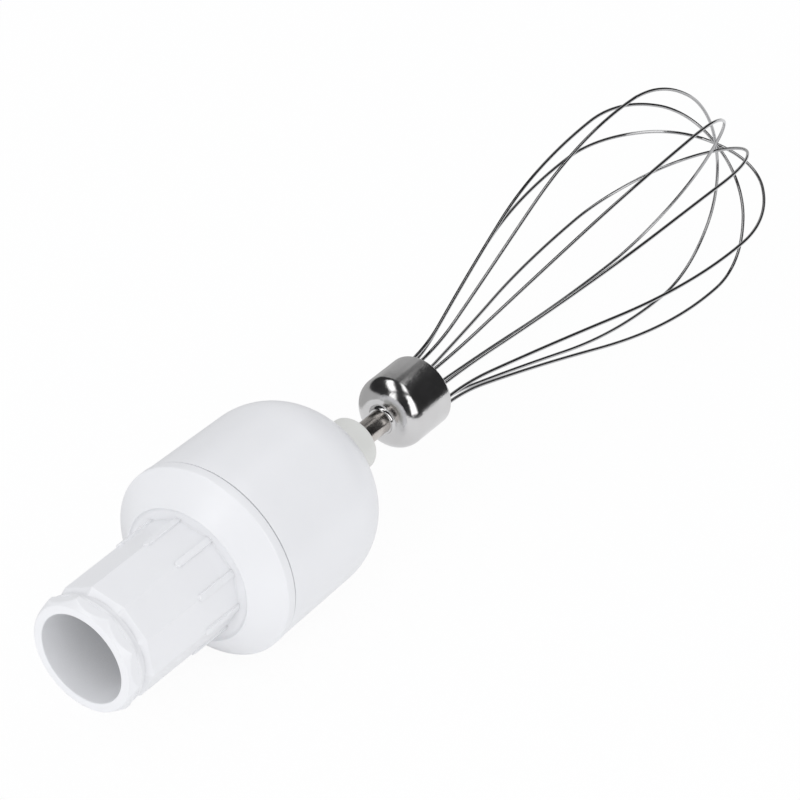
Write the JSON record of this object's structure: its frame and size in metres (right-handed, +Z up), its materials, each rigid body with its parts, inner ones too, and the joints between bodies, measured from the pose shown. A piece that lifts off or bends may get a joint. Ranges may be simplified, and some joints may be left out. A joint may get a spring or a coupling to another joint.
{
  "type": "stick blender whisk attachment",
  "caption": "Balloon whisk attachment for a stick blender: white geared housing with a ribbed coupler, steel ferrule and wire loops that lift out.",
  "frame": {"origin": "on the table, under the centre of the bounding box of the attachment lying on its side", "axes": "+X towards the whisk with the coupler mouth at -X, +Z up; the whisk axis climbs 0.72 degrees from +X because the attachment rests on its shoulder and on its two lowest wires"},
  "size_m": [0.2746, 0.0576, 0.0548],
  "materials": {
    "white_shell": "satin gloss",
    "hub_plastic": "satin",
    "inner_plastic": "moulded, plain",
    "gear_plastic": "moulded, plain",
    "bronze": "sintered",
    "gear_steel": "ground",
    "screw_steel": "zinc plated",
    "shaft_steel": "ground stainless",
    "polished_steel": "polished stainless",
    "wire_steel": "polished stainless wire",
    "black_rubber": "matt"
  },
  "bodies": {
    "housing": {"coupler_housing": "white_shell", "dome_housing": "white_shell", "gearbox_cover": "inner_plastic", "cover_screws": "screw_steel", "ring_gear": "gear_plastic", "input_bush": "bronze", "cover_bush": "bronze", "hub_bearing": "bronze", "thrust_washer": "screw_steel", "hub_seal": "black_rubber"},
    "input": {"drive_coupling": "inner_plastic", "input_shaft": "shaft_steel", "input_clip": "screw_steel", "sun_gear": "gear_steel"},
    "output": {"planet_carrier": "inner_plastic", "output_hub": "hub_plastic", "hub_screw": "screw_steel", "grip_ring": "black_rubber", "planet_pin_1": "gear_steel", "planet_pin_2": "gear_steel", "planet_pin_3": "gear_steel"},
    "planet_1": {"planet_gear_1": "gear_plastic"},
    "planet_2": {"planet_gear_2": "gear_plastic"},
    "planet_3": {"planet_gear_3": "gear_plastic"},
    "whisk": {"whisk_shaft": "shaft_steel", "ferrule": "polished_steel", "wire_holder": "inner_plastic", "wire_loop_1": "wire_steel", "wire_loop_2": "wire_steel", "wire_loop_3": "wire_steel", "wire_loop_4": "wire_steel", "wire_loop_5": "wire_steel"}
  },
  "joints": [
    {"name": "output_spin", "type": "hinge", "parent": "housing", "child": "output", "pos_m": [-0.07207, 0, 0.0252], "axis": [0.9999, 0, 0.0126], "continuous": true},
    {"name": "whisk_release", "type": "slide", "parent": "output", "child": "whisk", "axis": [0.9999, 0, 0.0126], "range_m": [0, 0.027]},
    {"name": "input_spin", "type": "hinge", "parent": "housing", "child": "input", "pos_m": [-0.08201, 0, 0.02508], "axis": [0.9999, 0, 0.0126], "continuous": true},
    {"name": "planet_1_spin", "type": "hinge", "parent": "output", "child": "planet_1", "pos_m": [-0.08188, 0, 0.01428], "axis": [0.9999, 0, 0.0126], "continuous": true},
    {"name": "planet_2_spin", "type": "hinge", "parent": "output", "child": "planet_2", "pos_m": [-0.08208, 0.00935, 0.03048], "axis": [0.9999, 0, 0.0126], "continuous": true},
    {"name": "planet_3_spin", "type": "hinge", "parent": "output", "child": "planet_3", "pos_m": [-0.08208, -0.00935, 0.03048], "axis": [0.9999, 0, 0.0126], "continuous": true}
  ],
  "couplings": [
    {"joint": "input_spin", "follows": "output_spin", "ratio": 6},
    {"joint": "planet_1_spin", "follows": "output_spin", "ratio": -2.5},
    {"joint": "planet_2_spin", "follows": "output_spin", "ratio": -2.5},
    {"joint": "planet_3_spin", "follows": "output_spin", "ratio": -2.5}
  ]
}
